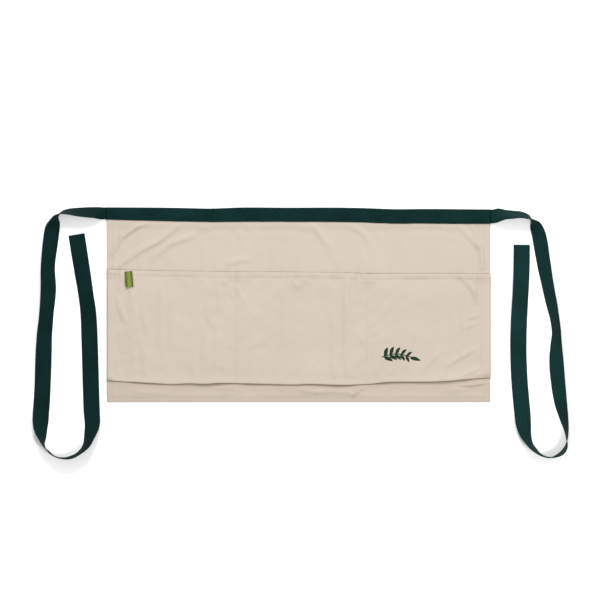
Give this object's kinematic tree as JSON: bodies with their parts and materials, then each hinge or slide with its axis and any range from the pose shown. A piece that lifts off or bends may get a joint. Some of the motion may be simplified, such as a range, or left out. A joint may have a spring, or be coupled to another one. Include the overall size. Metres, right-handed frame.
{
  "type": "waist apron",
  "caption": "Waist apron of natural canvas with a full-width pocket sewn into compartments, a green waistband that runs on as long flat ties, a woven label and an embroidered sprig.",
  "frame": {"origin": "on the surface that the apron lies on, under the middle of the apron without its ties", "axes": "+X along the waistband, +Y from the hem to the waistband, +Z out of the apron's front"},
  "size_m": [0.8511, 0.4016, 0.0261],
  "materials": {
    "panel_canvas": "natural cotton canvas, plain weave",
    "pocket_canvas": "natural cotton canvas, plain weave",
    "green_strip": "dark green cotton twill",
    "green_tie": "dark green cotton twill",
    "label_weave": "olive damask label, satin",
    "embroidery_thread": "satin stitched thread",
    "green_thread": "sewing thread",
    "natural_thread": "sewing thread",
    "olive_thread": "sewing thread"
  },
  "bodies": {
    "apron": {"apron_panel": "panel_canvas", "pocket_panel": "pocket_canvas", "waistband": "green_strip", "embroidered_sprig": "embroidery_thread", "waistband_stitch": "green_thread", "side_hem_stitch_left": "natural_thread", "side_hem_stitch_right": "natural_thread", "bottom_hem_stitch": "natural_thread", "pocket_mouth_stitch": "natural_thread", "pocket_side_stitch_left": "natural_thread", "pocket_side_stitch_right": "natural_thread", "pocket_divider_stitch_left": "natural_thread", "pocket_divider_stitch_right": "natural_thread", "pocket_foot_stitch": "natural_thread", "label_stitch": "olive_thread"},
    "left_tie": {"left_tie": "green_tie", "left_tie_stitch": "green_thread", "left_tie_end_stitch": "green_thread"},
    "right_tie": {"right_tie": "green_tie", "right_tie_stitch": "green_thread", "right_tie_end_stitch": "green_thread"},
    "label": {"label": "label_weave"}
  },
  "joints": [
    {"name": "left_tie_lift", "type": "hinge", "parent": "apron", "child": "left_tie", "pos_m": [-0.3055, 0.143, 0.0037], "axis": [0, 1, 0], "range_deg": [0, 135]},
    {"name": "right_tie_lift", "type": "hinge", "parent": "apron", "child": "right_tie", "pos_m": [0.3055, 0.143, 0.0037], "axis": [0, -1, 0], "range_deg": [0, 135]},
    {"name": "label_flip", "type": "hinge", "parent": "apron", "child": "label", "pos_m": [-0.27041, 0.0512, 0.0089], "axis": [-0.9962, -0.0872, 0], "range_deg": [0, 170]}
  ]
}
